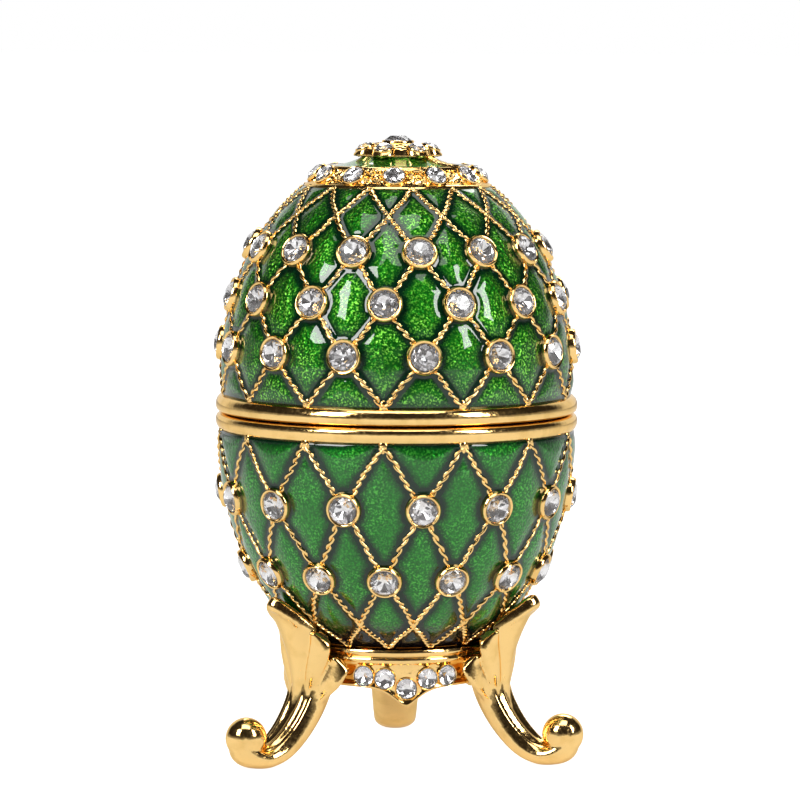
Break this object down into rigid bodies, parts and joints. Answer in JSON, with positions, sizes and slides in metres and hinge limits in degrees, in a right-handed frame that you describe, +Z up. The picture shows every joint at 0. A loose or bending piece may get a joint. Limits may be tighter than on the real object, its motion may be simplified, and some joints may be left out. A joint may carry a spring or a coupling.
{
  "type": "jewelled egg trinket box",
  "caption": "Hollow enamelled egg in two halves with a wire lattice and set stones, on a gold three-legged stand; the lid lifts off to reach the bowl.",
  "frame": {"origin": "on the floor under the centre of the object's box; the egg's own axis stands 0.1 mm to the left of it and 1.1 mm in front of it, because the back foot reaches further out than the egg", "axes": "+Z up along the egg, -Y towards the front, between two of the legs"},
  "size_m": [0.043, 0.0446, 0.072],
  "materials": {
    "green_enamel": "glossy translucent green enamel melted over a hammered metal ground",
    "gold_plate": "polished gold plate",
    "rhinestone": "clear faceted glass on silver foil"
  },
  "bodies": {
    "root": {"lid": "green_enamel", "bowl": "green_enamel", "stand": "gold_plate", "lid_stone_lower_01": "rhinestone", "lid_stone_lower_02": "rhinestone", "lid_stone_lower_03": "rhinestone", "lid_stone_lower_04": "rhinestone", "lid_stone_lower_05": "rhinestone", "lid_stone_lower_06": "rhinestone", "lid_stone_lower_07": "rhinestone", "lid_stone_lower_08": "rhinestone", "lid_stone_lower_09": "rhinestone", "lid_stone_lower_10": "rhinestone", "lid_stone_lower_11": "rhinestone", "lid_stone_lower_12": "rhinestone", "lid_stone_lower_13": "rhinestone", "lid_stone_lower_14": "rhinestone", "lid_stone_middle_01": "rhinestone", "lid_stone_middle_02": "rhinestone", "lid_stone_middle_03": "rhinestone", "lid_stone_middle_04": "rhinestone", "lid_stone_middle_05": "rhinestone", "lid_stone_middle_06": "rhinestone", "lid_stone_middle_07": "rhinestone", "lid_stone_middle_08": "rhinestone", "lid_stone_middle_09": "rhinestone", "lid_stone_middle_10": "rhinestone", "lid_stone_middle_11": "rhinestone", "lid_stone_middle_12": "rhinestone", "lid_stone_middle_13": "rhinestone", "lid_stone_middle_14": "rhinestone", "lid_stone_upper_01": "rhinestone", "lid_stone_upper_02": "rhinestone", "lid_stone_upper_03": "rhinestone", "lid_stone_upper_04": "rhinestone", "lid_stone_upper_05": "rhinestone", "lid_stone_upper_06": "rhinestone", "lid_stone_upper_07": "rhinestone", "lid_stone_upper_08": "rhinestone", "lid_stone_upper_09": "rhinestone", "lid_stone_upper_10": "rhinestone", "lid_stone_upper_11": "rhinestone", "lid_stone_upper_12": "rhinestone", "lid_stone_upper_13": "rhinestone", "lid_stone_upper_14": "rhinestone", "bowl_stone_01": "rhinestone", "bowl_stone_02": "rhinestone", "bowl_stone_03": "rhinestone", "bowl_stone_04": "rhinestone", "bowl_stone_05": "rhinestone", "bowl_stone_06": "rhinestone", "bowl_stone_07": "rhinestone", "bowl_stone_08": "rhinestone", "bowl_stone_09": "rhinestone", "bowl_stone_10": "rhinestone", "bowl_stone_11": "rhinestone", "bowl_stone_12": "rhinestone", "bowl_stone_13": "rhinestone", "bowl_stone_14": "rhinestone", "finial_stone": "rhinestone"}
  },
  "joints": []
}
